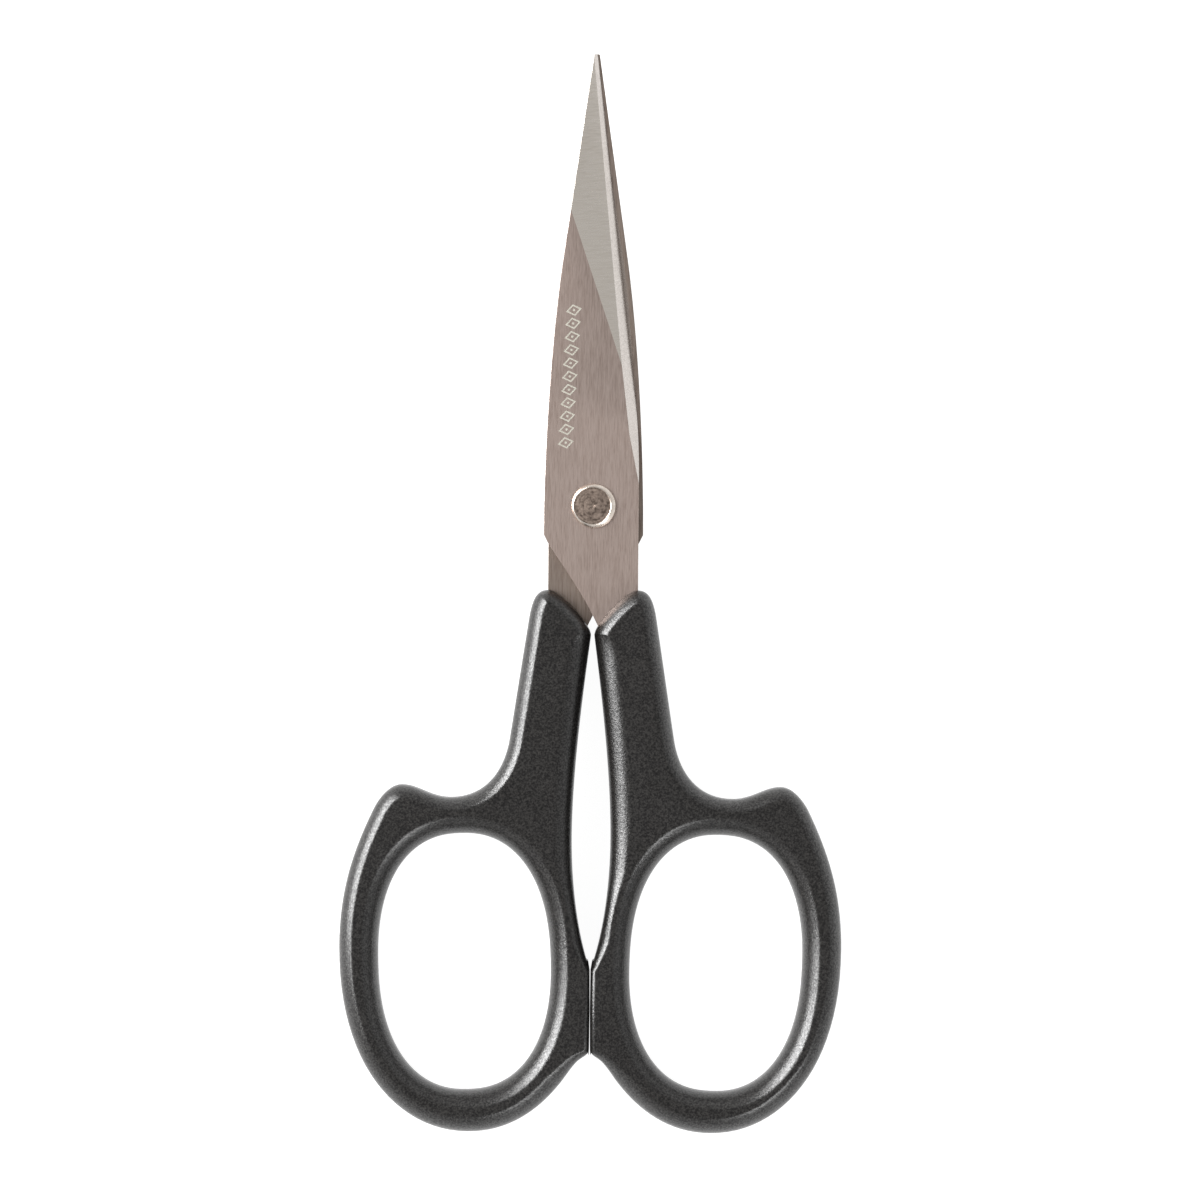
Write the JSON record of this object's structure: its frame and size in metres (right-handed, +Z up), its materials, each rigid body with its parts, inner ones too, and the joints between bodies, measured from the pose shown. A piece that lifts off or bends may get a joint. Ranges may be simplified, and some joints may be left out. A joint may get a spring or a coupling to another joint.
{
  "type": "fabric shears",
  "caption": "Small pair of straight fabric shears with pointed steel blades, a riveted pivot and moulded plastic handles with large finger rings.",
  "frame": {"origin": "middle of the closed shears' length and width, on the surface that they lie on", "axes": "+Y along the blades towards the points, +X to the right with the front blade up, +Z up out of the surface"},
  "size_m": [0.059, 0.127, 0.008],
  "materials": {
    "blade_steel": "stainless steel, belt-ground lengthwise, with a cross-ground point and a bright cutting bevel",
    "handle_plastic": "black moulded plastic with a fine spark-eroded grain",
    "rivet_steel": "turned steel rivet with a dull spun centre and a bright polished chamfer",
    "washer_steel": "plain plated steel"
  },
  "bodies": {
    "front_half": {"front_blade": "blade_steel", "right_handle": "handle_plastic", "pivot_rivet": "rivet_steel", "rivet_washer": "washer_steel"},
    "back_half": {"back_blade": "blade_steel", "left_handle": "handle_plastic"}
  },
  "joints": [
    {"name": "blade_pivot", "type": "hinge", "parent": "front_half", "child": "back_half", "pos_m": [0, 0.01025, 0.004], "axis": [0, 0, -1], "range_deg": [0, 118]}
  ]
}
